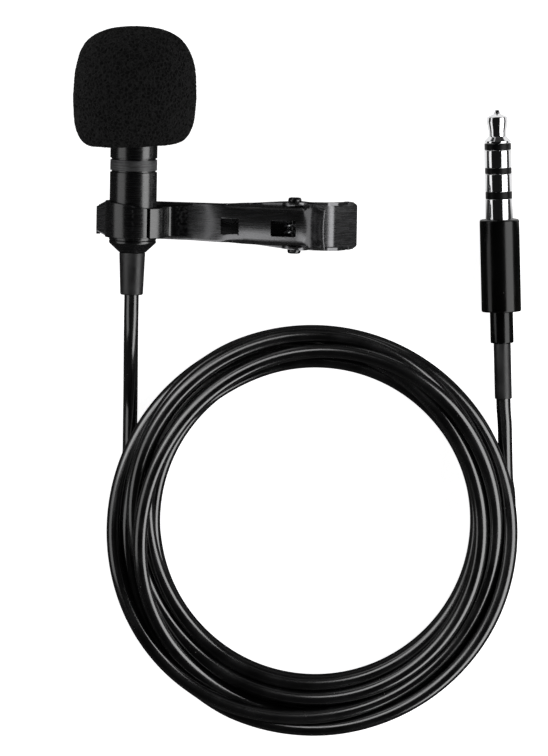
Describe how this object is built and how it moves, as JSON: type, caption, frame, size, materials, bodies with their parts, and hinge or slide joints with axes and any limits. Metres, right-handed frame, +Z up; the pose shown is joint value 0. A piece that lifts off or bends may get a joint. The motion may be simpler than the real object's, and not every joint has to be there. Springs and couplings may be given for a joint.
{
  "type": "lavalier microphone",
  "caption": "Small clip-on microphone with foam windscreen, sprung jaw clip on a turning collar, and a thin coiled cord to a four-pole plug.",
  "frame": {"origin": "on the surface the set lies on, under the middle of the box of microphone, windscreen and clip, without the cord", "axes": "+Z up, away from the surface; +Y along the microphone towards its head; +X along the clip towards its levers"},
  "size_m": [0.0577, 0.0901, 0.0156],
  "materials": {
    "foam": "open-cell foam, matte",
    "black_metal": "satin black",
    "clip_steel": "satin black",
    "bare_steel": "bare",
    "nickel": "polished nickel",
    "brass": "bare",
    "aluminium": "satin",
    "rubber": "matte",
    "jacket": "semi-gloss",
    "gloss_black": "gloss",
    "insulator": "satin",
    "board": "solder mask",
    "felt": "felt",
    "red_wire": "satin",
    "bare_wire": "bare copper"
  },
  "bodies": {
    "mic": {"mic_tube": "black_metal", "front_grille": "bare_steel", "dust_screen": "felt", "capsule_can": "aluminium", "capsule_gasket": "rubber", "capsule_board": "board", "signal_wire": "red_wire", "ground_wire": "bare_wire", "cord_core_end": "jacket", "cord_ferrule": "brass", "tail_cone": "black_metal", "mic_strain_relief": "rubber", "cord_mic_end": "jacket", "cord_coil": "jacket", "cord_plug_end": "jacket", "plug_tip": "nickel", "plug_ring_1": "nickel", "plug_ring_2": "nickel", "plug_insulator_1": "insulator", "plug_insulator_2": "insulator", "plug_insulator_3": "insulator", "plug_sleeve": "nickel", "plug_housing": "gloss_black", "plug_inner_mould": "insulator", "plug_core_end": "jacket", "plug_relief_front": "gloss_black", "plug_relief_rear": "rubber"},
    "windscreen": {"foam_windscreen": "foam"},
    "clip": {"collar_ring": "black_metal", "upper_jaw": "clip_steel", "pivot_pin": "clip_steel", "torsion_spring": "bare_steel"},
    "jaw": {"lower_jaw": "clip_steel"}
  },
  "joints": [
    {"name": "windscreen_pull", "type": "slide", "parent": "mic", "child": "windscreen", "axis": [0, 1, 0], "range_m": [0, 0.012]},
    {"name": "clip_turn", "type": "hinge", "parent": "mic", "child": "clip", "pos_m": [-0.0103, -0.0075, 0.0078], "axis": [0, -1, 0], "continuous": true},
    {"name": "jaw_open", "type": "hinge", "parent": "clip", "child": "jaw", "pos_m": [0.0103, -0.00825, 0.0048], "axis": [0, -1, 0], "range_deg": [0, 20], "stiffness_Nm_per_rad": 0.03, "springref_deg": -57.3, "deforming": ["torsion_spring"]}
  ]
}
